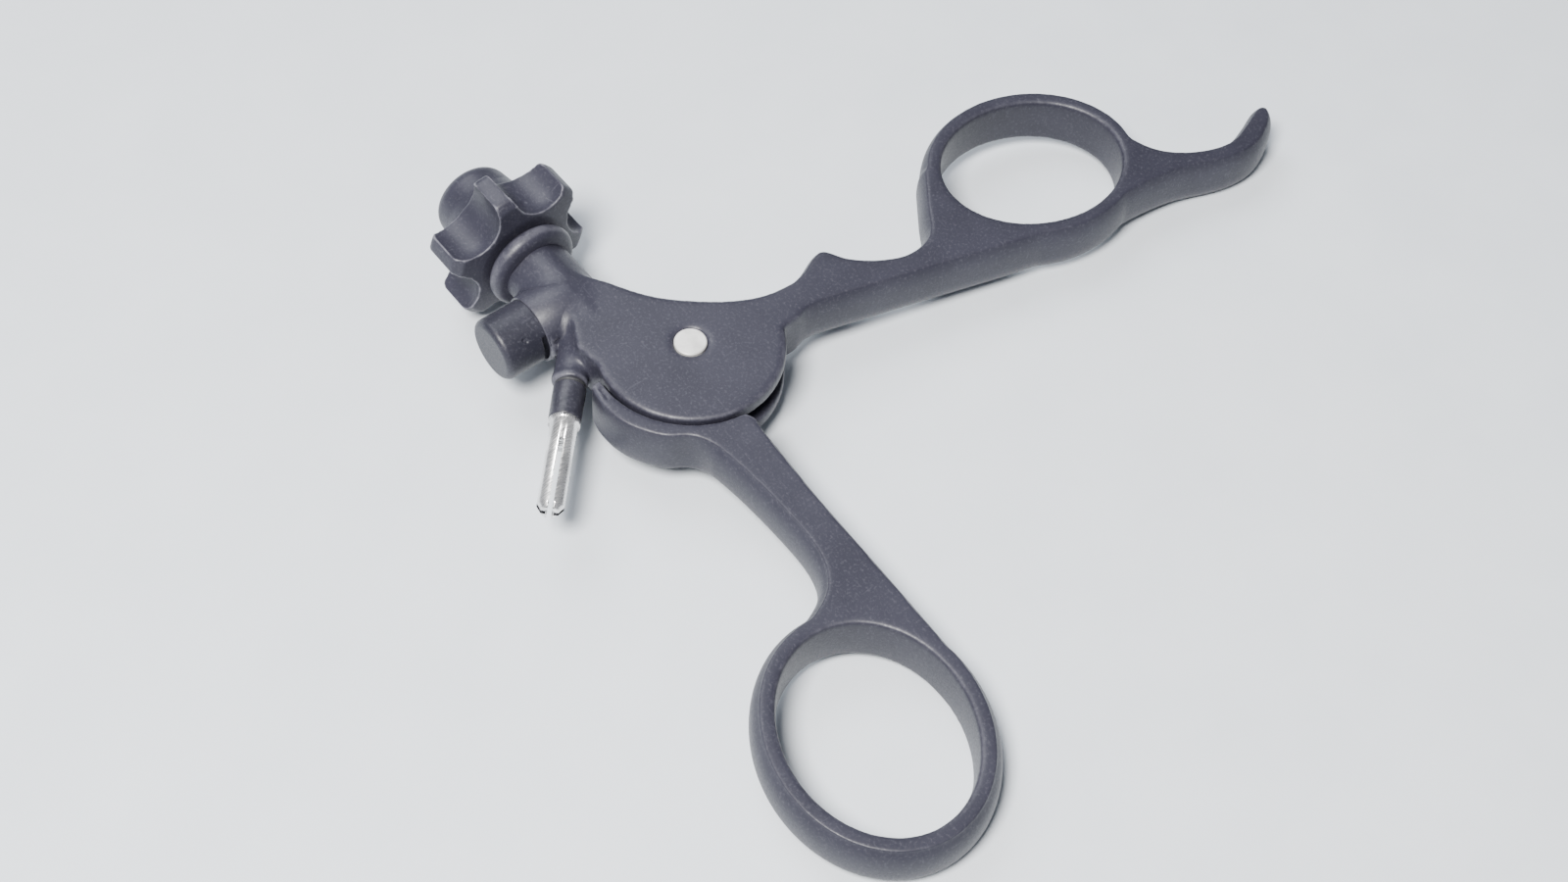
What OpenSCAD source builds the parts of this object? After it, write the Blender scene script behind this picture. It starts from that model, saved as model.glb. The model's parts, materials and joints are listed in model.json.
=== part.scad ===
// Ring handle for detachable laparoscopic forceps, lying flat with its jaws-side forward.
// +X runs forward along the shaft axis, +Y towards the release button, +Z up from the flat side.
// The origin is on the shaft axis at the mouth of the nose, where the instrument shaft goes in.

/* [Fork body] */
// Thickness of the grips and cheeks
grip_t = 8.6; // [8:0.1:10]
// Radius of the round cheeks over the pivot
cheek_r = 14.2; // [13.6:0.1:14.6]
// Width of the slot between the cheeks
slot_w = 3.4; // [3.2:0.1:4]
// Radius of the pivot pin
pivot_r = 2.5; // [2:0.1:2.8]
// Outer radius of the neck behind the wheel
neck_r = 5.1; // [5:0.1:5.4]

/* [Rotation wheel] */
// Radius over the lobes
wheel_r = 12.5; // [11.5:0.1:13]
// Number of lobes
lobes = 6; // [5:1:8]
// Radius of each finger scoop
scoop_r = 5.3; // [4.8:0.1:5.4]
// Radius of the nose
nose_r = 6.3; // [5.8:0.1:6.8]
// Bore for the instrument shaft
shaft_bore_r = 2.55; // [2.5:0.05:2.6]

/* [Release button] */
// Radius of the button
button_r = 4.95; // [4.6:0.05:4.95]
// Height of the button's face above the shaft axis
button_top = 14.4; // [13.6:0.1:15]
// Travel of the button
button_travel = 1.6; // [1:0.1:1.6]

/* [Electrode connector] */
// Radius of the split pin
pin_r = 2; // [1.5:0.1:2]
// Length of the split pin in front of its rim
pin_len = 15.2; // [14:0.1:17]
// Width of the slots in the pin
pin_slot = 0.7; // [0.4:0.1:0.8]
// Radius of the insulating sleeve
sleeve_r = 2.45; // [2.3:0.05:2.6]

/* [Finger rings] */
// Half length and half width of the thumb ring's opening
thumb_hole = [16.2, 13.1]; // [12:0.1:18]
// Half length and half width of the finger ring's opening
finger_hole = [14.9, 12.2]; // [12:0.1:18]
// Wall of the rings
ring_wall = 2.6; // [2:0.1:3.5]

/* [Hidden] */
$fn = 72;
eps = 0.01;
half_t = grip_t / 2;
half_slot = slot_w / 2;

pivot = [-46, -8.6];
// Angles about the pivot of the crescent's ends and of the rod seat
crescent_from = 82;
crescent_to = 174;
crescent_in = 14.9;
seat_angle = 69.5;
seat_dist = 9.15;
tongue_t = 2.9;
tongue_r = 6.2;
bush_r = 3.4;
washer_t = 0.2;
run_fit = 0.04;
side_gap = (slot_w - tongue_t) / 2 - washer_t;

button_x = -27.7;
boss_r = 5.35;
boss_top = 7.3;
counterbore_y = 5;
latch_t = 1.4;
latch_half = 3.3;

connector_at = [-39.74, 8.61];
connector_dir = 137;
rim_s = 6.33;
rim_t = 0.8;
rim_r = 2.35;
neck_in = 1.6;
stem_r = 1.1;

neck_front = -16.4;
wheel_back = -15.6;
wheel_front = -6.8;
bearing_back = -22.6;
sleeve_back = -26;
sleeve_front = -1.2;
nose_lip = 0.4;
sleeve_out = 3.6;
lobe_angle = 10;
scoop_end = -12.6;

thumb_centre = [-111.4, 10];
thumb_turn = 164;
finger_centre = [-49.1, -73.7];
finger_turn = -105.4;

// One smooth curve through the points p: a Catmull-Rom curve with n steps between points
function curve_point(a, b, c, d, t) =
    0.5 * ((2 * b) + (c - a) * t + (2 * a - 5 * b + 4 * c - d) * t * t
    + (3 * b - a - 3 * c + d) * t * t * t);
function curve(p, n = 4) =
    let (last = len(p) - 1)
    [for (i = [0:last - 1], j = [0:n - 1])
        curve_point(p[max(i - 1, 0)], p[i], p[i + 1], p[min(i + 2, last)], j / n),
     p[last]];
function on_arc(c, r, a) = [c[0] + r * cos(a), c[1] + r * sin(a)];
function arc(c, r, from, to, n) =
    [for (i = [0:n]) on_arc(c, r, from + (to - from) * i / n)];
function oval(c, half, turn, n = 64) =
    [for (i = [0:n - 1])
        let (u = half[0] * cos(360 * i / n), v = half[1] * sin(360 * i / n))
        [c[0] + u * cos(turn) - v * sin(turn), c[1] + u * sin(turn) + v * cos(turn)]];

module along_x(from, to, r) {
    translate([from, 0, 0]) rotate([0, 90, 0]) cylinder(h = to - from, r = r);
}

module along_y(x, from, to, r) {
    translate([x, from, 0]) rotate([-90, 0, 0]) cylinder(h = to - from, r = r);
}

// A solid turned about the shaft axis from a profile of [x, radius] points
module turned_x(profile) {
    rotate([0, 90, 0]) rotate_extrude() polygon([for (p = profile) [p[1], p[0]]]);
}

// Puts +Z of its children along the connector, with zero at the groove
module on_connector() {
    translate([connector_at[0], connector_at[1], 0])
        rotate([0, 0, connector_dir]) rotate([0, 90, 0]) children();
}

module at_pivot(z = 0) {
    translate([pivot[0], pivot[1], z]) children();
}

module plate(t) {
    translate([0, 0, -t / 2]) linear_extrude(t) children();
}

module sector(r, from, to) {
    polygon(concat([[0, 0]], arc([0, 0], r, from, to, 24)));
}

module ring_wall_2d(centre, hole, turn) {
    polygon(oval(centre, [hole[0] + ring_wall, hole[1] + ring_wall], turn));
}

// Front edge of the arm, from the neck past the bump and the finger scoop to the ring
front_edge = [[-24, -2.4], [-29, -5.2], [-35, -8.8], [-39.5, -13.2], [-43.2, -18.2],
              [-45.5, -23.5], [-45.5, -29], [-43.5, -33.8], [-43.9, -35.9], [-47, -37.8],
              [-50, -41.5], [-51.7, -46], [-50.6, -50.6], [-46, -54], [-40, -58.5]];
// Spur and hook below the ring, then the rear edge back up to the cheeks
rear_edge = [[-49, -90.3], [-54, -90.3], [-59, -92.4], [-62.6, -97], [-64.2, -102.5],
             [-63, -107.3], [-61.5, -111.4], [-62.7, -113], [-65.2, -111.2], [-67.6, -106],
             [-67.2, -100], [-64.4, -92], [-63.2, -84], [-63, -74], [-60.8, -62.5],
             [-56.4, -46.5], [-52.8, -33.3], [-51.4, -27.5], [-51.8, -24.4]];

module grip_outline() {
    difference() {
        union() {
            polygon(concat(curve(front_edge), [[-44, -75]], curve(rear_edge),
                arc(pivot, cheek_r, 246, 70, 40), [[-37, 5.4], [-32.5, 3.4], [-24, 2.4]]));
            ring_wall_2d(finger_centre, finger_hole, finger_turn);
        }
        polygon(oval(finger_centre, finger_hole, finger_turn));
    }
}

module tongue_slot() {
    plate(slot_w) translate(pivot) {
        circle(r = tongue_r + 0.3);
        sector(seat_dist + 3.4, 40, 180);
        sector(cheek_r + 2, 79, 236);
    }
}

// Channel or wire from the connector's inner end to the rear of the shaft sleeve
module wire_path(r) {
    bends = [[-34.7, 3.9, 0], [-31, 1.4, 3.9], [-25, 1, 4.1]];
    for (i = [0:1]) {
        run = bends[i + 1] - bends[i];
        flat = norm([run[0], run[1]]);
        translate(bends[i]) rotate([0, atan2(flat, run[2]), atan2(run[1], run[0])])
            cylinder(h = norm(run), r = r);
    }
    translate(bends[1]) sphere(r = r + 0.1);
}

// Runs the round neck out into the flat faces of the body
module neck_flare() {
    translate([-34, 0, 0]) rotate([0, 90, 0]) cylinder(h = 6 + eps, r1 = half_t, r2 = neck_r);
}

module fixed_handle() {
    color([0.16, 0.16, 0.2]) difference() {
        union() {
            plate(grip_t) grip_outline();
            along_x(-28, neck_front, neck_r);
            neck_flare();
            along_y(button_x, 0, boss_top, boss_r);
            on_connector() translate([0, 0, -11.5]) cylinder(h = 11.1, r = 2.4);
            on_connector() translate([0, 0, -1.3]) cylinder(h = 0.9, r = 2.65);
        }
        tongue_slot();
        at_pivot(-half_t - 1) cylinder(h = grip_t + 2, r = pivot_r);
        along_x(bearing_back, neck_front + 1, 4.2);
        along_x(bearing_back - 1, bearing_back + eps, 4.35);
        along_x(sleeve_back - 0.3, bearing_back, 3.8);
        along_x(-31.5, sleeve_back, 3);
        along_x(-37.5, -31, 1.7);
        translate([button_x - 0.9, -2.9, -3.5]) cube([1.8, 8.1, 7]);
        along_y(button_x, counterbore_y, boss_top + 1, button_r + 0.05);
        intersection() {
            along_y(button_x, 3, counterbore_y + 1, button_r + 0.05);
            translate([button_x - 8, 2, -6]) cube([4.6, 6, 12]);
        }
        dowel(0.5);
        on_connector() translate([0, 0, -4]) cylinder(h = 5, r = neck_in);
        on_connector() translate([0, 0, -7.2]) cylinder(h = 4, r = stem_r);
        wire_path(0.38);
    }
}

module retaining_collar() {
    color([0.14, 0.14, 0.17]) difference() {
        turned_x(concat([[-19.1, neck_r], [-19.1, 5.7]], arc([-17.5, 5.8], 1.5, 178, 2, 16),
            [[-15.9, 5.7], [-15.9, neck_r]]));
        along_x(-20, -15, neck_r);
    }
}

module pivot_pin() {
    color([0.75, 0.74, 0.7]) at_pivot(-half_t) cylinder(h = grip_t, r = pivot_r);
}

module pivot_washer(z) {
    color("silver") at_pivot(z) difference() {
        cylinder(h = washer_t, r = tongue_r - 0.3);
        translate([0, 0, -1]) cylinder(h = 2, r = pivot_r);
    }
}

module upper_washer() {
    pivot_washer(half_slot - washer_t);
}

module lower_washer() {
    pivot_washer(-half_slot);
}

module connector_insulator() {
    color([0.1, 0.1, 0.12]) on_connector() difference() {
        union() {
            translate([0, 0, -4]) cylinder(h = 5, r = neck_in);
            translate([0, 0, 0.4]) cylinder(h = rim_s - 0.4, r = sleeve_r);
        }
        translate([0, 0, -5]) cylinder(h = 20, r = stem_r);
    }
}

module connector_pin() {
    tip = rim_s + rim_t + pin_len;
    color("silver") on_connector() rotate([0, 0, 38]) difference() {
        union() {
            translate([0, 0, -7.2]) cylinder(h = 7.4 + rim_s, r = stem_r);
            translate([0, 0, rim_s]) cylinder(h = rim_t, r = rim_r);
            translate([0, 0, rim_s + rim_t - eps]) cylinder(h = pin_len - 1 + eps, r = pin_r);
            translate([0, 0, tip - 1]) cylinder(h = 1, r1 = pin_r, r2 = pin_r - 0.7);
        }
        for (a = [0, 90])
            rotate([0, 0, a + 45])
                translate([-pin_slot / 2, -5, rim_s + 4]) cube([pin_slot, 10, pin_len]);
        translate([0, 0, rim_s + 4]) cylinder(h = pin_len, r = 0.7);
    }
}

module connector_seal() {
    color([0.08, 0.08, 0.09]) on_connector()
        rotate_extrude() translate([neck_in + 0.36, 0]) circle(r = 0.36, $fn = 24);
}

module contact_wire() {
    color("gold") wire_path(0.3);
}

module wheel_bearing() {
    color("ivory") difference() {
        along_x(bearing_back, neck_front - 0.2, 4.2);
        along_x(bearing_back - 1, neck_front + 1, sleeve_out + run_fit);
    }
}

module button_spring() {
    coils = 5;
    steps = 16;
    from = counterbore_y + 0.25;
    rise = 11.5 - from;
    ring = 6;
    wire = 0.24;
    mean_r = 2.6;
    count = coils * steps;
    rings = [for (i = [0:count])
        let (a = 360 * i / steps, y = from + rise * i / count)
        for (k = [0:ring - 1])
            let (r = mean_r + wire * cos(360 * k / ring))
            [button_x + r * cos(a), y + wire * sin(360 * k / ring), r * sin(a)]];
    sides = [for (i = [0:count - 1], k = [0:ring - 1])
        [i * ring + k, i * ring + (k + 1) % ring,
         (i + 1) * ring + (k + 1) % ring, (i + 1) * ring + k]];
    ends = [[for (k = [ring - 1:-1:0]) k], [for (k = [0:ring - 1]) count * ring + k]];
    color("silver") polyhedron(rings, concat(sides, ends));
}

module dowel(r) {
    translate([button_x - 4.55, 5.9, -2]) cylinder(h = 4, r = r, $fn = 32);
}

module button_dowel() {
    color("silver") dowel(0.5);
}

// The lobed wheel and the nose are one moulding
module rotation_wheel() {
    round_r = 2.8;
    profile = concat([[wheel_back, sleeve_out], [wheel_back, 7.6], [-15.1, wheel_r - 1.2]],
        arc([-13.6, wheel_r - 1], 1, 150, 90, 5),
        arc([-8.8, wheel_r - 1.4], 1.4, 90, 30, 6),
        [[-6.9, 8.2], [wheel_front, nose_r + 1], [-4.6, nose_r + 0.3]],
        arc([nose_lip - round_r, nose_r - round_r], round_r, 90, 0, 10),
        [[nose_lip, shaft_bore_r + nose_lip], [0, shaft_bore_r], [sleeve_front, shaft_bore_r],
         [sleeve_front, sleeve_out]]);
    color([0.17, 0.17, 0.21]) difference() {
        turned_x(profile);
        for (i = [0:lobes - 1])
            rotate([-(lobe_angle + 360 * (i + 0.5) / lobes), 0, 0])
                translate([0, 0, wheel_r + 0.5]) {
                    along_x(scoop_end, 1, scoop_r);
                    translate([scoop_end, 0, 0]) sphere(r = scoop_r);
                }
    }
}

module shaft_sleeve() {
    color("silver") difference() {
        along_x(sleeve_back, sleeve_front, sleeve_out);
        along_x(sleeve_back - 1, 1, shaft_bore_r);
        turned_x([[-23.4, 3.3], [-23.4, 5], [-22.8, 5], [-22.8, 3.3]]);
        turned_x([[-4.4, 0], [-4.4, 3.2], [-3.4, 3.2], [-3.4, 0]]);
    }
}

module shaft_seal() {
    color([0.3, 0.12, 0.1]) translate([-3.9, 0, 0]) rotate([0, 90, 0])
        rotate_extrude() translate([shaft_bore_r + 0.4, 0]) circle(r = 0.25, $fn = 24);
}

module sleeve_clip() {
    color("dimgray") difference() {
        along_x(-23.35, -22.85, 4.15);
        along_x(-24, -22, 3.3);
        translate([-24, -0.8, -6]) cube([2, 1.6, 6]);
    }
}

module release_button() {
    color([0.13, 0.13, 0.16]) difference() {
        union() {
            along_y(button_x, 6.8, button_top, button_r);
            intersection() {
                along_y(button_x, 4.8, 7, button_r);
                translate([button_x - 6, 4, -5]) cube([2.4, 4, 10]);
            }
        }
        along_y(button_x, 4, 12, 3.3);
        translate([button_x - 0.7, 11, -1.2]) cube([latch_t, 1.6, 2.4]);
        translate([button_x - 6, 5.3, -5]) cube([2, 2.7, 10]);
    }
}

module latch_plate() {
    color("silver") difference() {
        union() {
            translate([button_x - latch_t / 2, -1, -latch_half])
                cube([latch_t, 5.9, 2 * latch_half]);
            translate([button_x - latch_t / 2, 4, -1.2]) cube([latch_t, 8.6, 2.4]);
        }
        translate([button_x - 2, button_travel, 0]) rotate([0, 90, 0]) cylinder(h = 4, r = 2.7);
        translate([button_x - 2, -2, -1.95]) cube([4, button_travel + 2, 3.9]);
    }
}

// Outer edge of the crescent and the arm, from the crescent's tip to the thumb ring
thumb_edge = [[-43.9, 7.8], [-45.6, 8.3], [-48.6, 8.6], [-52.6, 7.8], [-57.2, 4.9], [-60.2, 1], [-66, -0.4],
              [-76, -1], [-85, -0.6], [-90.4, 2], [-93.4, 8], [-96.6, 17.6]];

module thumb_outline() {
    difference() {
        union() {
            polygon(concat(curve(thumb_edge), [[-105, 0], [-108, -5.8], [-95, -6.3], [-78, -6.8],
                [-62.2, -7.9]], arc(pivot, crescent_in, crescent_to + 1, crescent_from, 24)));
            ring_wall_2d(thumb_centre, thumb_hole, thumb_turn);
        }
        polygon(oval(thumb_centre, thumb_hole, thumb_turn));
    }
}

module thumb_grip() {
    color([0.16, 0.16, 0.2]) difference() {
        union() {
            plate(grip_t) thumb_outline();
            plate(tongue_t) translate(pivot) {
                circle(r = tongue_r);
                sector(crescent_in + 1, 84, crescent_to);
                translate(on_arc([0, 0], seat_dist, seat_angle)) circle(r = 3);
            }
        }
        at_pivot(-5) cylinder(h = 10, r = bush_r);
        at_pivot(-5) translate(on_arc([0, 0], seat_dist, seat_angle)) cylinder(h = 10, r = 2);
    }
}

module pivot_bush() {
    color("goldenrod") at_pivot(-tongue_t / 2) difference() {
        cylinder(h = tongue_t, r = bush_r);
        translate([0, 0, -1]) cylinder(h = 5, r = pivot_r + run_fit);
    }
}

module rod_seat() {
    color("silver") at_pivot() translate(on_arc([0, 0], seat_dist, seat_angle))
        difference() {
            translate([0, 0, -tongue_t / 2]) cylinder(h = tongue_t, r = 2);
            sphere(r = 1.3);
            rotate([0, 90, 0]) cylinder(h = 4, r = 0.8, $fn = 32);
        }
}

fixed_handle();
retaining_collar();
pivot_pin();
upper_washer();
lower_washer();
connector_insulator();
connector_pin();
connector_seal();
contact_wire();
wheel_bearing();
button_spring();
button_dowel();
rotation_wheel();
shaft_sleeve();
shaft_seal();
sleeve_clip();
release_button();
latch_plate();
thumb_grip();
pivot_bush();
rod_seat();
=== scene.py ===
import json
import math

import bmesh
import bpy
import numpy as np
from mathutils import Matrix, Vector


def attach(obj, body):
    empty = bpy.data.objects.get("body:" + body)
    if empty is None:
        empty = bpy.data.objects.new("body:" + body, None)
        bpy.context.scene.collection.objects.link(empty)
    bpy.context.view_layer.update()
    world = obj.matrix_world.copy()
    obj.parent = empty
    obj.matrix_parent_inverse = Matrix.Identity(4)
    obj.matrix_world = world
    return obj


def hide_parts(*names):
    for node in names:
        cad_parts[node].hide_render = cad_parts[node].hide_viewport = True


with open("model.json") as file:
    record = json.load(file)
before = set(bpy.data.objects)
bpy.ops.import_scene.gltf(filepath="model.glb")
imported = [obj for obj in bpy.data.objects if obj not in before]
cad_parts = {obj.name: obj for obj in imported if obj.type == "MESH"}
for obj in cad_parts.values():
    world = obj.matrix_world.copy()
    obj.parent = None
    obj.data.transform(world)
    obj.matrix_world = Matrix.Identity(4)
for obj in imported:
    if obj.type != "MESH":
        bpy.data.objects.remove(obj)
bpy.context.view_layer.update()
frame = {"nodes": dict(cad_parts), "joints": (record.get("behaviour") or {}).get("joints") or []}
nodes = frame["nodes"]
joints = {j["name"]: j for j in frame["joints"]}
mm = 0.001

print("stage: materials")


def addNode(tree, kind, inputs=None, **settings):
    node = tree.nodes.new(kind)
    for key, value in settings.items():
        setattr(node, key, value)
    for key, value in (inputs or {}).items():
        if isinstance(value, bpy.types.NodeSocket):
            tree.links.new(value, node.inputs[key])
        else:
            node.inputs[key].default_value = value
    return node


def noise(tree, coords, scale, detail=2.0, rough=0.5, stretch=(1, 1, 1), turn=(0, 0, 0)):
    mapping = addNode(tree, "ShaderNodeMapping",
                      {"Vector": coords, "Scale": stretch, "Rotation": turn})
    tex = addNode(tree, "ShaderNodeTexNoise",
                  {"Vector": mapping.outputs["Vector"], "Scale": scale, "Detail": detail,
                   "Roughness": rough})
    return tex.outputs["Fac"]


def ramp(tree, fac, low, high, bottom=0.0, top=1.0):
    node = addNode(tree, "ShaderNodeMapRange",
                   {"Value": fac, "From Min": low, "From Max": high, "To Min": bottom,
                    "To Max": top}, interpolation_type="SMOOTHSTEP")
    return node.outputs["Result"]


def mathOp(tree, op, a, b):
    return addNode(tree, "ShaderNodeMath", {0: a, 1: b}, operation=op).outputs[0]


def mixColour(tree, fac, a, b):
    node = addNode(tree, "ShaderNodeMix", data_type="RGBA")
    for socket, value in ((node.inputs[0], fac), (node.inputs[6], a), (node.inputs[7], b)):
        if isinstance(value, bpy.types.NodeSocket):
            tree.links.new(value, socket)
        else:
            socket.default_value = value
    return node.outputs[2]


def newMaterial(name):
    mat = bpy.data.materials.new(name)
    mat.use_nodes = True
    tree = mat.node_tree
    shader = tree.nodes["Principled BSDF"]
    coords = addNode(tree, "ShaderNodeTexCoord").outputs["Object"]
    return mat, tree, shader, coords


plasticLook = {
    "colour": (0.027, 0.0265, 0.039, 1), "dark": (0.020, 0.0195, 0.030, 1),
    "worn": (0.15, 0.148, 0.175, 1), "speck": (0.12, 0.118, 0.14, 1),
    "roughLow": 0.36, "roughHigh": 0.50, "grain": 0.09}


def satinPlastic(name, look, wearAndShade=0.55, scratches=0.25):
    mat, tree, shader, coords = newMaterial(name)
    cloud = noise(tree, coords, 90, 4, 0.6)
    fine = noise(tree, coords, 3200, 4, 0.65)
    base = mixColour(tree, ramp(tree, cloud, 0.3, 0.7), look["dark"], look["colour"])
    specks = ramp(tree, noise(tree, coords, 2300, 4, 0.7), 0.50, 0.72, 0, 0.26)
    base = mixColour(tree, specks, base, look["speck"])
    lines = ramp(tree, noise(tree, coords, 260, 2, 0.5, (1, 9, 1), (0.3, 0.2, 0.9)),
                 0.69, 0.73, 0, scratches)
    cross = ramp(tree, noise(tree, coords, 230, 2, 0.5, (10, 1, 1), (0.1, 0.4, 0.5)),
                 0.70, 0.74, 0, scratches)
    marks = mathOp(tree, "MAXIMUM", lines, cross)
    base = mixColour(tree, mathOp(tree, "MULTIPLY", marks, 0.35), base, look["worn"])
    edge = addNode(tree, "ShaderNodeAttribute", attribute_name="wearAndShade").outputs["Fac"]
    broken = ramp(tree, noise(tree, coords, 520, 5, 0.7), 0.36, 0.62, 0.25, 1)
    edge = mathOp(tree, "MULTIPLY", mathOp(tree, "MULTIPLY", edge, broken), wearAndShade)
    base = mixColour(tree, edge, base, look["worn"])
    tree.links.new(base, shader.inputs["Base Color"])
    rough = ramp(tree, fine, 0.3, 0.7, look["roughLow"], look["roughHigh"])
    rough = mathOp(tree, "SUBTRACT", rough, mathOp(tree, "MULTIPLY", edge, 0.12))
    tree.links.new(rough, shader.inputs["Roughness"])
    height = mathOp(tree, "SUBTRACT", fine, mathOp(tree, "MULTIPLY", marks, 0.6))
    bump = addNode(tree, "ShaderNodeBump", {"Height": height, "Strength": look["grain"],
                                            "Distance": 0.0003})
    tree.links.new(bump.outputs["Normal"], shader.inputs["Normal"])
    shader.inputs["IOR"].default_value = 1.5
    shader.inputs["Specular IOR Level"].default_value = 0.36
    return mat


def brightSteel(name, colour, rough, marks, turn=(0, 0, 0), stretch=(1, 1, 1), metal=1.0):
    mat, tree, shader, coords = newMaterial(name)
    shader.inputs["Metallic"].default_value = metal
    lines = noise(tree, coords, 700, 3, 0.6, stretch, turn)
    cloud = noise(tree, coords, 240, 4, 0.6)
    dull = tuple(0.72 * c for c in colour[:3]) + (1,)
    base = mixColour(tree, ramp(tree, cloud, 0.35, 0.7), colour, dull)
    # Painted shade: faces marked in the attribute are drawn near black. Only the connector pin's
    # slot walls carry it.
    paintedShade = addNode(tree, "ShaderNodeAttribute", attribute_name="wearAndShade").outputs["Fac"]
    tree.links.new(mixColour(tree, paintedShade, base, (0.03, 0.03, 0.034, 1)),
                   shader.inputs["Base Color"])
    tree.links.new(ramp(tree, lines, 0.3, 0.7, rough - 0.07, rough + 0.1),
                   shader.inputs["Roughness"])
    bump = addNode(tree, "ShaderNodeBump", {"Height": lines, "Strength": marks,
                                            "Distance": 0.0001})
    tree.links.new(bump.outputs["Normal"], shader.inputs["Normal"])
    return mat


def sealRubber():
    mat, tree, shader, coords = newMaterial("sealRubber")
    grain = noise(tree, coords, 2200, 3, 0.6)
    tree.links.new(mixColour(tree, grain, (0.012, 0.012, 0.014, 1), (0.03, 0.03, 0.034, 1)),
                   shader.inputs["Base Color"])
    tree.links.new(ramp(tree, grain, 0.3, 0.7, 0.55, 0.75), shader.inputs["Roughness"])
    bump = addNode(tree, "ShaderNodeBump", {"Height": grain, "Strength": 0.1,
                                            "Distance": 0.0002})
    tree.links.new(bump.outputs["Normal"], shader.inputs["Normal"])
    return mat


def floorCloth():
    mat, tree, shader, coords = newMaterial("paleFloor")
    grain = noise(tree, coords, 60, 5, 0.6)
    tree.links.new(mixColour(tree, grain, (0.62, 0.66, 0.70, 1), (0.70, 0.735, 0.77, 1)),
                   shader.inputs["Base Color"])
    tree.links.new(ramp(tree, grain, 0.3, 0.7, 0.6, 0.8), shader.inputs["Roughness"])
    return mat


wheelLook = dict(plasticLook, colour=(0.030, 0.029, 0.043, 1), worn=(0.24, 0.235, 0.27, 1))
buttonLook = dict(plasticLook, colour=(0.024, 0.0235, 0.034, 1), dark=(0.015, 0.015, 0.023, 1))
sleeveLook = dict(plasticLook, colour=(0.019, 0.0185, 0.027, 1), dark=(0.013, 0.013, 0.020, 1),
                  roughLow=0.34, roughHigh=0.46, grain=0.03)
handlePlastic = satinPlastic("handlePlastic", plasticLook)
wheelPlastic = satinPlastic("wheelPlastic", wheelLook, wearAndShade=0.75)
buttonPlastic = satinPlastic("buttonPlastic", buttonLook, wearAndShade=0.7)
sleevePlastic = satinPlastic("sleevePlastic", sleeveLook, wearAndShade=0.4, scratches=0.2)
connectorTurn = math.radians(137)
connectorRoot = (-39.74, 8.61, 0)
gripHalf = 4.3 * mm
pinSteel = brightSteel("pinSteel", (0.90, 0.89, 0.88, 1), 0.26, 0.003,
                       (0, 0, -connectorTurn), (6, 1, 1), metal=0.9)
pivotSteel = brightSteel("pivotSteel", (0.90, 0.88, 0.84, 1), 0.42, 0.15, (0, 0, 0.4),
                         (1, 14, 1), metal=0.45)
innerSteel = brightSteel("innerSteel", (0.62, 0.61, 0.60, 1), 0.3, 0.2, (0, 0, 0), (10, 1, 1))
brass = brightSteel("plainBrass", (0.72, 0.52, 0.25, 1), 0.3, 0.2)
bearingPolymer = satinPlastic("bearingPolymer", dict(
    plasticLook, colour=(0.62, 0.56, 0.42, 1), dark=(0.5, 0.45, 0.34, 1)), wearAndShade=0.1)
rubber = sealRubber()

print("stage: helpers")


def newPiece(name, mesh, material, body, replaced=(), creased=0):
    piece = bpy.data.objects.new(name, mesh)
    bpy.context.scene.collection.objects.link(piece)
    mesh.materials.clear()
    mesh.materials.append(material)
    mesh.polygons.foreach_set("use_smooth", [True] * len(mesh.polygons))
    if creased:
        mesh.set_sharp_from_angle(angle=math.radians(creased))
    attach(piece, body)
    if replaced:
        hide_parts(*replaced)
    print("  " + name, len(mesh.polygons), "faces")
    return piece


def meshOfNode(name):
    # A closed copy of a CAD node's mesh
    work = bmesh.new()
    work.from_mesh(nodes[name].data)
    bmesh.ops.remove_doubles(work, verts=work.verts, dist=1e-6)
    mesh = bpy.data.meshes.new(name + "Copy")
    work.to_mesh(mesh)
    work.free()
    return mesh


def joined(meshes):
    work = bmesh.new()
    for mesh in meshes:
        work.from_mesh(mesh)
    mesh = bpy.data.meshes.new("joined")
    work.to_mesh(mesh)
    work.free()
    return mesh


def softened(mesh, voxel, rounds):
    # One closed skin over all the shells, with its edges rounded
    holder = bpy.data.objects.new("holder", mesh)
    bpy.context.scene.collection.objects.link(holder)
    remesh = holder.modifiers.new("skin", "REMESH")
    remesh.mode = "VOXEL"
    remesh.voxel_size = voxel
    smooth = holder.modifiers.new("round", "SMOOTH")
    smooth.factor = 0.5
    smooth.iterations = rounds
    ready = holder.evaluated_get(bpy.context.evaluated_depsgraph_get())
    result = bpy.data.meshes.new_from_object(ready)
    bpy.data.objects.remove(holder)
    return result


def vertexArrays(mesh):
    count = len(mesh.vertices)
    spots = np.empty(count * 3)
    mesh.vertices.foreach_get("co", spots)
    normals = np.empty(count * 3)
    mesh.vertices.foreach_get("normal", normals)
    return spots.reshape(-1, 3), normals.reshape(-1, 3)


def putBack(mesh, spots):
    mesh.vertices.foreach_set("co", spots.astype(np.float32).ravel())
    mesh.update()


def dent(mesh, places, radius, depth):
    # Presses small pits into the skin; a row of places makes a groove (mm)
    spots, normals = vertexArrays(mesh)
    press = np.zeros(len(spots))
    for place in places:
        away = np.linalg.norm(spots / mm - place, axis=1) / radius
        press = np.maximum(press, np.clip(1 - away ** 2, 0, 1) ** 2)
    spots -= normals * (press * depth * mm)[:, None]
    putBack(mesh, spots)


def neighbourMean(mesh):
    edges = np.empty(len(mesh.edges) * 2, dtype=np.int64)
    mesh.edges.foreach_get("vertices", edges)
    a, b = edges.reshape(-1, 2).T
    total = len(mesh.vertices)
    count = np.maximum(np.bincount(a, minlength=total) + np.bincount(b, minlength=total), 1)

    def mean(values):
        if values.ndim == 2:
            return np.stack([mean(values[:, k]) for k in range(values.shape[1])], axis=1)
        near = np.bincount(a, values[b], total) + np.bincount(b, values[a], total)
        return near / count

    return mean


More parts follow.
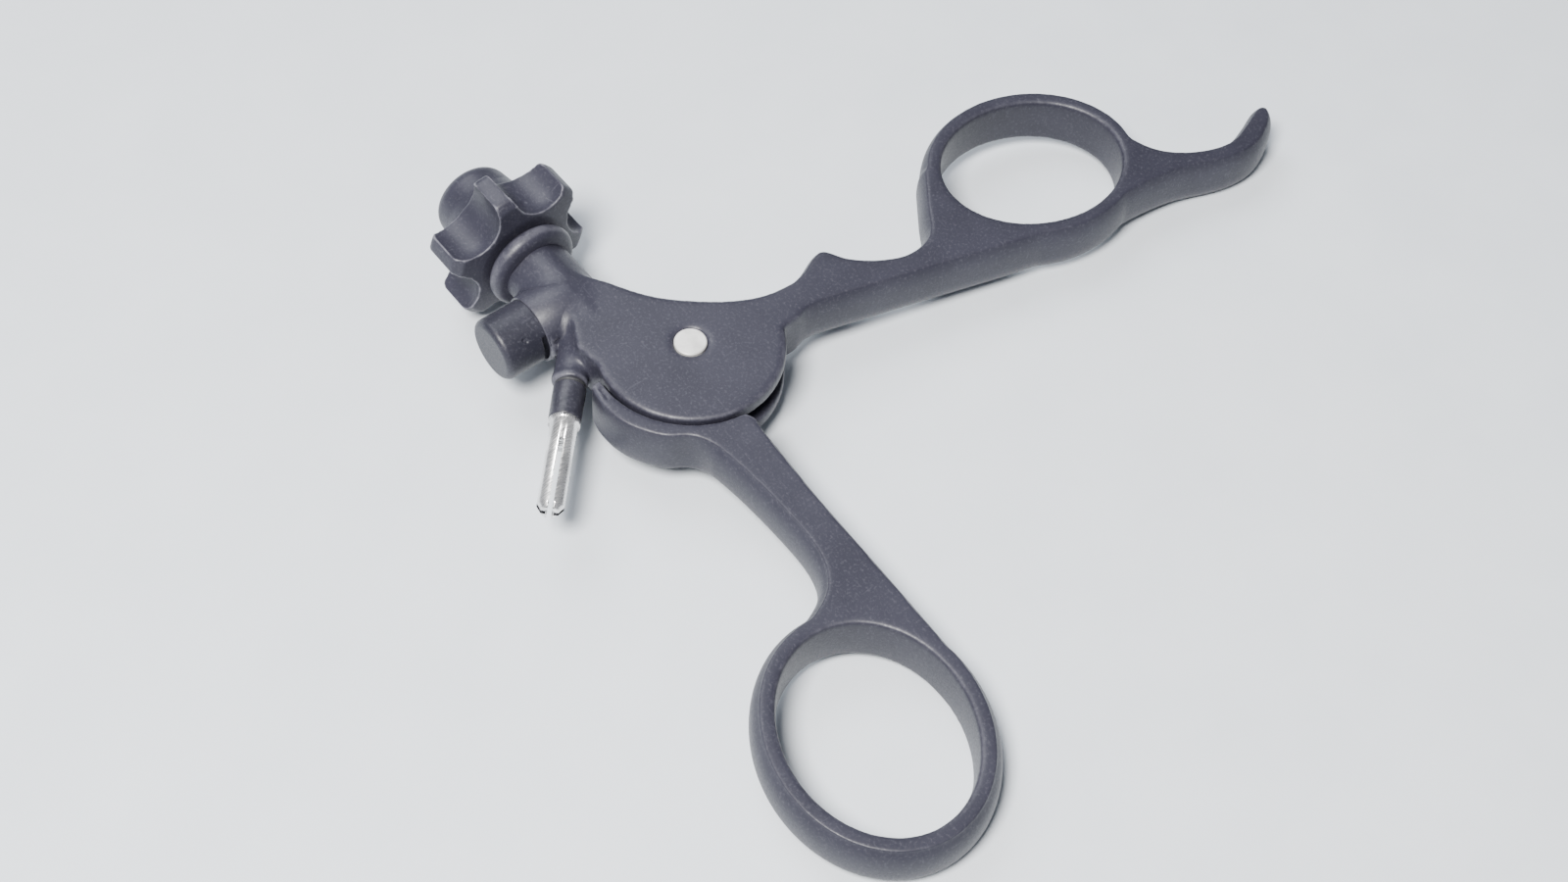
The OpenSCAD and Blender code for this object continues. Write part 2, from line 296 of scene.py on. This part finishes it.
def fillCorners(mesh, rounds, mask):
    # Grows soft fillets in the hollow corners and leaves the outer edges alone
    spots, normals = vertexArrays(mesh)
    mean = neighbourMean(mesh)
    weight = mask(spots)
    for k in range(rounds):
        step = mean(spots) - spots
        out = (step * normals).sum(axis=1)
        spots += step * (0.5 * weight * (out > 0))[:, None]
        if k % 8 == 7:
            putBack(mesh, spots)
            normals = vertexArrays(mesh)[1]
    putBack(mesh, spots)


def markWear(mesh, reach, low, high):
    # How sharply each point stands out (1/mm), written as edge wear to the attribute that also
    # carries the pin's painted shade
    spots, normals = vertexArrays(mesh)
    mean = neighbourMean(mesh)
    middle = mean(spots)
    edges = np.empty(len(mesh.edges) * 2, dtype=np.int64)
    mesh.edges.foreach_get("vertices", edges)
    a, b = edges.reshape(-1, 2).T
    length = np.median(np.linalg.norm(spots[a] - spots[b], axis=1))
    bend = ((spots - middle) * normals).sum(axis=1) / length ** 2 * mm
    for _ in range(reach):
        bend = 0.4 * bend + 0.6 * mean(bend)
    paintWear(mesh, lambda spots: np.clip((bend - low) / (high - low), 0, 1))


def paintWear(mesh, rule):
    wearAndShade = rule(vertexArrays(mesh)[0])
    layer = mesh.attributes.new("wearAndShade", "FLOAT", "POINT")
    layer.data.foreach_set("value", wearAndShade.astype(np.float32))


def turned(profile, segments=128, place=Matrix()):
    # A closed solid turned about X from (x, radius) points in mm, listed all the way round
    work = bmesh.new()
    rings = []
    for x, radius in profile:
        ring = []
        for i in range(segments):
            angle = 2 * math.pi * i / segments
            spot = Vector((x * mm, radius * mm * math.cos(angle), radius * mm * math.sin(angle)))
            ring.append(work.verts.new(place @ spot))
        rings.append(ring)
    for first, second in zip(rings, rings[1:] + rings[:1]):
        for i in range(segments):
            j = (i + 1) % segments
            work.faces.new((first[i], first[j], second[j], second[i]))
    bmesh.ops.remove_doubles(work, verts=work.verts, dist=1e-7)
    bmesh.ops.recalc_face_normals(work, faces=work.faces)
    mesh = bpy.data.meshes.new("turned")
    work.to_mesh(mesh)
    work.free()
    return mesh


def arcPoints(cx, cr, radius, start, end, steps):
    return [(cx + radius * math.cos(math.radians(start + (end - start) * i / steps)),
             cr + radius * math.sin(math.radians(start + (end - start) * i / steps)))
            for i in range(steps + 1)]


connectorAt = Vector(connectorRoot) * mm
onConnector = Matrix.Translation(connectorAt) @ Matrix.Rotation(connectorTurn, 4, "Z")

print("stage: fixed handle")

handle = {"voxel": 0.31 * mm, "rounds": 8, "sideBulge": 0.45 * mm, "edgeInset": 0.7 * mm,
          "filletRounds": 90, "hole": (14.9, 12.2), "holeCentre": (-49.1, -73.7),
          "holeTurn": -105.4}


def crownSides(mesh, halfT, bulge, inset, holeCentre, hole, holeTurn):
    # Swells the side walls between the flat faces and draws their upper and lower edges in
    spots, normals = vertexArrays(mesh)
    flat = np.hypot(normals[:, 0], normals[:, 1])
    high = np.clip(np.abs(spots[:, 2]) / halfT, 0, 1)
    across = spots[:, :2] / mm - holeCentre
    turn = math.radians(holeTurn)
    u = (across[:, 0] * math.cos(turn) + across[:, 1] * math.sin(turn)) / (hole[0] + 1)
    v = (across[:, 1] * math.cos(turn) - across[:, 0] * math.sin(turn)) / (hole[1] + 1)
    outside = np.clip((np.hypot(u, v) - 1) * 12 + 0.5, 0, 1)
    amount = bulge * (1 - high ** 2) * (0.4 + 0.6 * outside) - inset * high ** 4 * outside
    amount *= np.minimum(flat * 1.4, 1) * awayFromPivot(spots)
    spots[:, 0] += normals[:, 0] * amount
    spots[:, 1] += normals[:, 1] * amount
    putBack(mesh, spots)


def relax(mesh, rounds):
    spots = vertexArrays(mesh)[0]
    mean = neighbourMean(mesh)
    for _ in range(rounds):
        spots = 0.5 * spots + 0.5 * mean(spots)
    putBack(mesh, spots)


def awayFromPivot(spots):
    pivot = joints["thumb_pivot"]["pos_m"]
    reach = np.hypot(spots[:, 0] - pivot[0], spots[:, 1] - pivot[1])
    return np.clip((reach - 0.0165) / 0.003, 0, 1)


def nearNeck(spots):
    # The outer skin between the neck, the button boss and the connector boss
    x, y, z = (spots / mm).T
    reach = np.hypot(x + 33, y - 2)
    weight = np.clip((14 - reach) / 5, 0, 1)
    weight[np.hypot(y, z) < 4.6] = 0
    weight[(np.hypot(x + 27.7, z) < 5.2) & (y > 4.5)] = 0
    weight[(x > -19.5) | (y < -4.5)] = 0
    along = ((x - connectorRoot[0]) * math.cos(connectorTurn)
             + (y - connectorRoot[1]) * math.sin(connectorTurn))
    return weight * np.clip((-0.6 - along) / 1.0, 0, 1)


housing = {"at": -27.7, "bore": 5.0, "radius": 5.37, "from": 1.4, "top": 7.3, "floor": 4.7,
           "pocketFloor": 2.75, "pocketSide": -30.9}


def clearTravel(mesh):
    # Keeps the skin out of the room the button slides in, each point by its shortest way
    h = housing
    spots = vertexArrays(mesh)[0]
    x, y, z = (spots / mm).T
    reach = np.hypot(x - h["at"], z)
    bore = h["bore"] + 0.06
    over = (reach < bore) & (x < h["pocketSide"])
    pocket = over & (y > h["pocketFloor"])
    inside = (reach < bore) & (y > h["floor"]) | pocket
    toWall = bore - reach
    toFloor = np.where(pocket, y - h["pocketFloor"], y - h["floor"])
    toSide = np.where(pocket, h["pocketSide"] - x, 99)
    wall = inside & (toWall <= toFloor) & (toWall <= toSide)
    side = inside & ~wall & (toSide < toFloor)
    low = inside & ~wall & ~side
    grow = bore / reach[wall]
    spots[wall, 0] = (h["at"] + (x[wall] - h["at"]) * grow) * mm
    spots[wall, 2] = z[wall] * grow * mm
    spots[side, 0] = h["pocketSide"] * mm
    spots[side, 1] = np.minimum(y[side], h["floor"]) * mm
    spots[low, 1] -= toFloor[low] * mm
    putBack(mesh, spots)


def makeFixedHandle():
    # The plug closes the wire's channel, which is thinner walled than the remesh can hold
    plug = bmesh.new()
    for spot in ((-31, 1.4, 3.4), (-29, 1.3, 3.4), (-32.5, 2.4, 2.4)):
        bmesh.ops.create_uvsphere(plug, u_segments=32, v_segments=16, radius=1.1 * mm,
                                  matrix=Matrix.Translation(Vector(spot) * mm))
    plugMesh = bpy.data.meshes.new("plug")
    plug.to_mesh(plugMesh)
    mesh = softened(joined([meshOfNode("fixed_handle"), plugMesh]), handle["voxel"],
                    handle["rounds"])
    crownSides(mesh, gripHalf, handle["sideBulge"], handle["edgeInset"],
               handle["holeCentre"], handle["hole"], handle["holeTurn"])
    relax(mesh, 6)
    fillCorners(mesh, handle["filletRounds"], nearNeck)
    clearTravel(mesh)
    markWear(mesh, 3, 0.17, 0.32)
    return newPiece("fixedHandle", mesh, handlePlastic, "grip",
                    ["fixed_handle"])


fixedHandle = makeFixedHandle()


def makeHousingRim():
    # The thin wall round the button, which the remesh cannot hold
    h = housing
    profile = [(h["from"], h["bore"]), (h["from"], h["radius"]), (h["top"] - 0.15, h["radius"]),
               (h["top"], h["radius"] - 0.12), (h["top"], h["bore"])]
    place = Matrix.Translation((h["at"] * mm, 0, 0)) @ Matrix.Rotation(math.radians(90), 4, "Z")
    mesh = turned(profile, 128, place)
    spots = vertexArrays(mesh)[0]
    saddle = np.sqrt(np.clip(4.1 ** 2 - (spots[:, 2] / mm) ** 2, 0, None)) * mm
    low = spots[:, 1] < 4 * mm
    spots[low, 1] = np.maximum(spots[low, 1], saddle[low])
    putBack(mesh, spots)
    paintWear(mesh, lambda spots: np.clip((spots[:, 1] / mm - 7.1) * 3, 0, 0.5))
    return newPiece("housingRim", mesh, handlePlastic, "grip",
                    ["fixed_handle"], creased=40)


housingRim = makeHousingRim()

print("stage: thumb grip")

thumb = {"voxel": 0.28 * mm, "rounds": 9, "sideBulge": 0.7 * mm, "edgeInset": 0.8 * mm,
         "hole": (16.2, 13.1), "holeCentre": (-111.4, 10), "holeTurn": 164,
         "groove": [(-45.2 - 0.25 * k, 7.05 + 0.03 * k, 4.2) for k in range(9)]}


def makeThumbGrip():
    mesh = softened(meshOfNode("thumb_grip"), thumb["voxel"], thumb["rounds"])
    crownSides(mesh, gripHalf, thumb["sideBulge"], thumb["edgeInset"],
               thumb["holeCentre"], thumb["hole"], thumb["holeTurn"])
    relax(mesh, 6)
    dent(mesh, thumb["groove"], 0.28, 0.35)
    markWear(mesh, 3, 0.17, 0.32)
    return newPiece("thumbGrip", mesh, handlePlastic, "thumb", ["thumb_grip"])


thumbGrip = makeThumbGrip()

print("stage: rotation wheel")

wheel = {
    "lobes": 6, "startAngle": 10, "radius": 12.5, "scoopRadius": 5.3, "scoopOut": 13.0,
    "scoopEnd": -12.6, "back": -15.6, "front": -6.8, "hub": 3.6, "nose": 6.3, "noseRound": 2.8,
    "bore": 2.55, "voxel": 0.19 * mm, "rounds": 10,
    "gateMark": [(-12.2, -2.6, 7.6), (-12.0, -2.9, 7.5)]}


def makeScoopTree(material):
    # Cuts a ring of round-ended finger scoops out of the turned wheel
    tree = bpy.data.node_groups.new("fingerScoops", "GeometryNodeTree")
    face = tree.interface
    face.new_socket("Geometry", in_out="INPUT", socket_type="NodeSocketGeometry")
    face.new_socket("Lobes", in_out="INPUT", socket_type="NodeSocketInt")
    for label in ("Scoop radius", "Distance", "End", "Turn"):
        face.new_socket(label, in_out="INPUT", socket_type="NodeSocketFloat")
    face.new_socket("Geometry", in_out="OUTPUT", socket_type="NodeSocketGeometry")
    inlet = tree.nodes.new("NodeGroupInput")
    outlet = tree.nodes.new("NodeGroupOutput")
    length = 0.02
    ball = addNode(tree, "GeometryNodeMeshUVSphere",
                   {"Segments": 96, "Rings": 48, "Radius": inlet.outputs["Scoop radius"]})
    ball = addNode(tree, "GeometryNodeTransform",
                   {"Geometry": ball.outputs["Mesh"], "Rotation": (0, math.pi / 2, 0)})
    spot = addNode(tree, "GeometryNodeInputPosition")
    along = addNode(tree, "ShaderNodeSeparateXYZ", {0: spot.outputs[0]})
    front = addNode(tree, "ShaderNodeMath", {0: along.outputs["X"], 1: 1e-5},
                    operation="GREATER_THAN")
    scoop = addNode(tree, "GeometryNodeSetPosition",
                    {"Geometry": ball.outputs[0], "Selection": front.outputs[0],
                     "Offset": (length, 0, 0)})
    endSpot = addNode(tree, "ShaderNodeCombineXYZ", {"X": inlet.outputs["End"]})
    scoop = addNode(tree, "GeometryNodeTransform",
                    {"Geometry": scoop.outputs[0], "Translation": endSpot.outputs[0]})
    ring = addNode(tree, "GeometryNodeMeshCircle",
                   {"Vertices": inlet.outputs["Lobes"], "Radius": inlet.outputs["Distance"]})
    lean = addNode(tree, "ShaderNodeCombineXYZ", {"X": inlet.outputs["Turn"]})
    upright = addNode(tree, "GeometryNodeTransform",
                      {"Geometry": ring.outputs["Mesh"], "Rotation": (0, math.pi / 2, 0)})
    upright = addNode(tree, "GeometryNodeTransform",
                      {"Geometry": upright.outputs[0], "Rotation": lean.outputs[0]})
    copies = addNode(tree, "GeometryNodeInstanceOnPoints",
                     {"Points": upright.outputs[0], "Instance": scoop.outputs[0]})
    solid = addNode(tree, "GeometryNodeRealizeInstances", {"Geometry": copies.outputs[0]})
    cut = addNode(tree, "GeometryNodeMeshBoolean", {"Mesh 1": inlet.outputs["Geometry"],
                                                    "Mesh 2": solid.outputs[0]},
                  operation="DIFFERENCE", solver="EXACT")
    whole = addNode(tree, "GeometryNodeRealizeInstances", {"Geometry": cut.outputs["Mesh"]})
    finish = addNode(tree, "GeometryNodeSetMaterial",
                     {"Geometry": whole.outputs[0], "Material": material})
    tree.links.new(finish.outputs[0], outlet.inputs[0])
    return tree


def runTree(mesh, tree, values):
    holder = bpy.data.objects.new("holder", mesh)
    bpy.context.scene.collection.objects.link(holder)
    modifier = holder.modifiers.new("rule", "NODES")
    modifier.node_group = tree
    for item in tree.interface.items_tree:
        if item.in_out == "INPUT" and item.name in values:
            modifier[item.identifier] = values[item.name]
    ready = holder.evaluated_get(bpy.context.evaluated_depsgraph_get())
    result = bpy.data.meshes.new_from_object(ready)
    bpy.data.objects.remove(holder)
    return result


def makeWheel():
    w = wheel
    profile = ([(w["back"], w["hub"]), (w["back"], 7.6), (-15.1, w["radius"] - 1.2)]
               + arcPoints(-13.6, w["radius"] - 1, 1, 150, 90, 6)
               + arcPoints(-8.8, w["radius"] - 1.4, 1.4, 90, 30, 8)
               + [(-6.9, 8.2), (w["front"], w["nose"] + 1), (-4.6, w["nose"] + 0.3)]
               + arcPoints(0.4 - w["noseRound"], w["nose"] - w["noseRound"], w["noseRound"],
                           90, 0, 24)
               + arcPoints(0, w["bore"] + 0.4, 0.4, 0, -90, 8)
               + [(-1.2, w["bore"]), (-1.2, w["hub"])])
    tree = makeScoopTree(wheelPlastic)
    turn = math.radians(-(w["startAngle"] + 30))  # the first scoop lies between two lobes
    mesh = runTree(turned(profile, 192), tree, {
        "Lobes": w["lobes"], "Scoop radius": w["scoopRadius"] * mm,
        "Distance": w["scoopOut"] * mm, "End": w["scoopEnd"] * mm, "Turn": turn})
    mesh = softened(mesh, w["voxel"], w["rounds"])
    dent(mesh, w["gateMark"], 0.6, 0.3)
    markWear(mesh, 2, 0.26, 0.60)
    return newPiece("rotationWheel", mesh, wheelPlastic, "wheel",
                    ["rotation_wheel"])


rotationWheel = makeWheel()

collar = {"back": -19.1, "front": -15.9, "bore": 5.1, "middle": -17.5, "round": 1.5}


def makeCollar():
    c = collar
    profile = ([(c["back"], c["bore"]), (c["back"], 5.6)]
               + arcPoints(c["middle"], 5.8, c["round"], 176, 4, 40)
               + [(c["front"], 5.6), (c["front"], c["bore"])])
    mesh = turned(profile)
    paintWear(mesh, lambda spots: np.clip(
        (np.hypot(spots[:, 1], spots[:, 2]) / mm - 7.0) * 1.2, 0, 0.25))
    return newPiece("retainingCollar", mesh, wheelPlastic, "grip",
                    ["retaining_collar"], creased=40)


retainingCollar = makeCollar()

print("stage: release button")

button = {"voxel": 0.14 * mm, "rounds": 7, "at": -27.7, "radius": 4.95, "top": 14.4,
          "rimRound": 1.0, "springBore": 3.42, "springTop": 12.25,
          "gateMark": [(-31.38, 10.46, 3.31), (-31.2, 10.7, 3.5)]}


def roundRim(mesh):
    b = button
    spots = vertexArrays(mesh)[0]
    x, y, z = (spots / mm).T
    around = np.arctan2(z, x - b["at"])
    reach = np.hypot(x - b["at"], z)
    out = reach - (b["radius"] - b["rimRound"])
    up = y - (b["top"] - b["rimRound"])
    gone = np.hypot(out, up)
    rim = (out > 0) & (up > 0) & (gone > b["rimRound"])
    scale = b["rimRound"] / gone[rim]
    reach[rim] = b["radius"] - b["rimRound"] + out[rim] * scale
    spots[rim, 1] = (b["top"] - b["rimRound"] + up[rim] * scale) * mm
    spots[rim, 0] = (b["at"] + reach[rim] * np.cos(around[rim])) * mm
    spots[rim, 2] = reach[rim] * np.sin(around[rim]) * mm
    putBack(mesh, spots)


def clearSpring(mesh):
    # Opens the spring's bore again where the remesh filled its corners
    b = button
    spots = vertexArrays(mesh)[0]
    x, y, z = (spots / mm).T
    reach = np.hypot(x - b["at"], z)
    inside = (reach < b["springBore"]) & (y < b["springTop"])
    wall = inside & (reach > b["springBore"] - 0.5)
    grow = b["springBore"] / reach[wall]
    spots[wall, 0] = (b["at"] + (x[wall] - b["at"]) * grow) * mm
    spots[wall, 2] = z[wall] * grow * mm
    spots[inside & ~wall & (y > b["springTop"] - 0.5), 1] = b["springTop"] * mm
    putBack(mesh, spots)


def makeButton():
    mesh = softened(meshOfNode("release_button"), button["voxel"], button["rounds"])
    roundRim(mesh)
    clearSpring(mesh)
    dent(mesh, button["gateMark"], 0.45, 0.22)
    markWear(mesh, 2, 0.3, 0.9)
    return newPiece("releaseButton", mesh, buttonPlastic, "button",
                    ["release_button"])


releaseButton = makeButton()

print("stage: electrode connector")

connector = {"neck": 1.6, "sleeveRadius": 2.45, "sleeveEnd": 6.33, "stem": 1.1}


def makeConnectorSleeve():
    c = connector
    end, r = c["sleeveEnd"], c["sleeveRadius"]
    profile = ([(-4, c["stem"]), (-4, c["neck"]), (0.4, c["neck"]), (0.4, r - 0.25)]
               + arcPoints(0.65, r - 0.25, 0.25, 180, 90, 6)
               + [(2, r), (4, r - 0.02), (end - 0.3, r - 0.04)]
               + arcPoints(end - 0.25, r - 0.29, 0.25, 90, 0, 6) + [(end, c["stem"])])
    mesh = turned(profile, 96, onConnector)
    paintWear(mesh, lambda spots: 0.25 + 0 * spots[:, 0])
    return newPiece("connectorSleeve", mesh, sleevePlastic, "grip",
                    ["connector_insulator"], creased=40)


def makeConnectorPin():
    mesh = meshOfNode("connector_pin")
    along = Vector((math.cos(connectorTurn), math.sin(connectorTurn), 0))
    # Painted shade: the pin's slot walls are marked with 1 so the steel is drawn near black
    # there.
    layer = mesh.attributes.new("wearAndShade", "FLOAT", "FACE")
    for face in mesh.polygons:
        across = face.center - connectorAt
        across -= along * across.dot(along)
        aside = along.cross(across).normalized()
        layer.data[face.index].value = 1.0 if abs(face.normal.dot(aside)) > 0.5 else 0.0
    return newPiece("connectorPin", mesh, pinSteel, "grip", ["connector_pin"],
                    creased=35)


connectorSleeve = makeConnectorSleeve()
connectorPin = makeConnectorPin()

print("stage: pivot and inner parts")


def makePivot():
    pivot = joints["thumb_pivot"]["pos_m"]
    standing = (Matrix.Translation(Vector(pivot)) @ Matrix.Rotation(math.radians(-90), 4, "Y"))
    profile = [(-4.3, 0), (-4.3, 2.3), (-4.15, 2.45), (4.15, 2.45), (4.3, 2.3), (4.3, 0)]
    mesh = turned(profile, 96, standing)
    return newPiece("pivotPin", mesh, pivotSteel, "grip", ["pivot_pin"],
                    creased=30)


pivotPin = makePivot()

innerFinish = {
    "upper_washer": innerSteel, "lower_washer": innerSteel, "connector_seal": rubber,
    "contact_wire": brass, "wheel_bearing": bearingPolymer, "button_spring": innerSteel,
    "button_dowel": innerSteel, "shaft_sleeve": innerSteel, "shaft_seal": rubber,
    "sleeve_clip": innerSteel, "latch_plate": innerSteel, "pivot_bush": brass,
    "rod_seat": innerSteel}
for name, material in innerFinish.items():
    nodes[name].data.materials.clear()
    nodes[name].data.materials.append(material)

print("stage: floor, light and camera")

floorPlan = {"size": 1.6, "cells": 160, "level": -0.0145, "near": 0.13, "far": 0.45}


def makeFloor():
    # The handle rests on its wheel and its two ring ends, so the cloth under it leans a little
    wheelLow = Vector((-11.5, 0, -12.05)) * mm
    thumbLow = Vector((-127, 14, -4.5)) * mm
    hookLow = Vector((-63, -112, -4.5)) * mm
    up = (thumbLow - wheelLow).cross(hookLow - wheelLow).normalized()
    middle = Vector((-0.062, -0.045, 0))
    work = bmesh.new()
    cells = floorPlan["cells"]
    grid = []
    for i in range(cells + 1):
        row = []
        for j in range(cells + 1):
            x = middle.x + (i / cells - 0.5) * floorPlan["size"]
            y = middle.y + (j / cells - 0.5) * floorPlan["size"]
            lean = wheelLow.z - (up.x * (x - wheelLow.x) + up.y * (y - wheelLow.y)) / up.z
            away = math.hypot(x - middle.x, y - middle.y)
            t = (away - floorPlan["near"]) / (floorPlan["far"] - floorPlan["near"])
            t = min(max(t, 0), 1)
            blend = t * t * (3 - 2 * t)
            row.append(work.verts.new((x, y, lean * (1 - blend) + floorPlan["level"] * blend)))
        grid.append(row)
    for i in range(cells):
        for j in range(cells):
            work.faces.new((grid[i][j], grid[i + 1][j], grid[i + 1][j + 1], grid[i][j + 1]))
    mesh = bpy.data.meshes.new("floor")
    work.to_mesh(mesh)
    work.free()
    floor = bpy.data.objects.new("floor", mesh)
    bpy.context.scene.collection.objects.link(floor)
    mesh.materials.append(floorCloth())
    mesh.polygons.foreach_set("use_smooth", [True] * len(mesh.polygons))


makeFloor()


def softLight(name, place, target, size, power, colour):
    data = bpy.data.lights.new(name, "AREA")
    data.shape = "DISK"
    data.size = size
    data.energy = power
    data.color = colour
    lamp = bpy.data.objects.new(name, data)
    bpy.context.scene.collection.objects.link(lamp)
    lamp.location = place
    lamp.rotation_euler = (Vector(target) - Vector(place)).to_track_quat("-Z", "Y").to_euler()


aim = (-0.06, -0.04, 0)
softLight("keyLight", (-0.16, 0.26, 0.52), aim, 0.20, 10.0, (1.0, 0.985, 0.97))
softLight("fillLight", (0.34, -0.02, 0.50), aim, 0.45, 3.2, (0.92, 0.95, 1.0))
world = bpy.data.worlds.new("studio")
world.use_nodes = True
world.node_tree.nodes["Background"].inputs["Color"].default_value = (0.78, 0.84, 0.95, 1)
world.node_tree.nodes["Background"].inputs["Strength"].default_value = 0.26
bpy.context.scene.world = world

cameraPlan = {"place": (-0.2069, 0.12085, 0.2731), "turn": (35.09, -3.20, -128.46), "lens": 52.94}
cameraData = bpy.data.cameras.new("camera")
cameraData.lens = cameraPlan["lens"]
cameraData.sensor_width = 36
camera = bpy.data.objects.new("camera", cameraData)
bpy.context.scene.collection.objects.link(camera)
camera.location = cameraPlan["place"]
camera.rotation_euler = [math.radians(a) for a in cameraPlan["turn"]]
bpy.context.scene.camera = camera

print("stage: done")
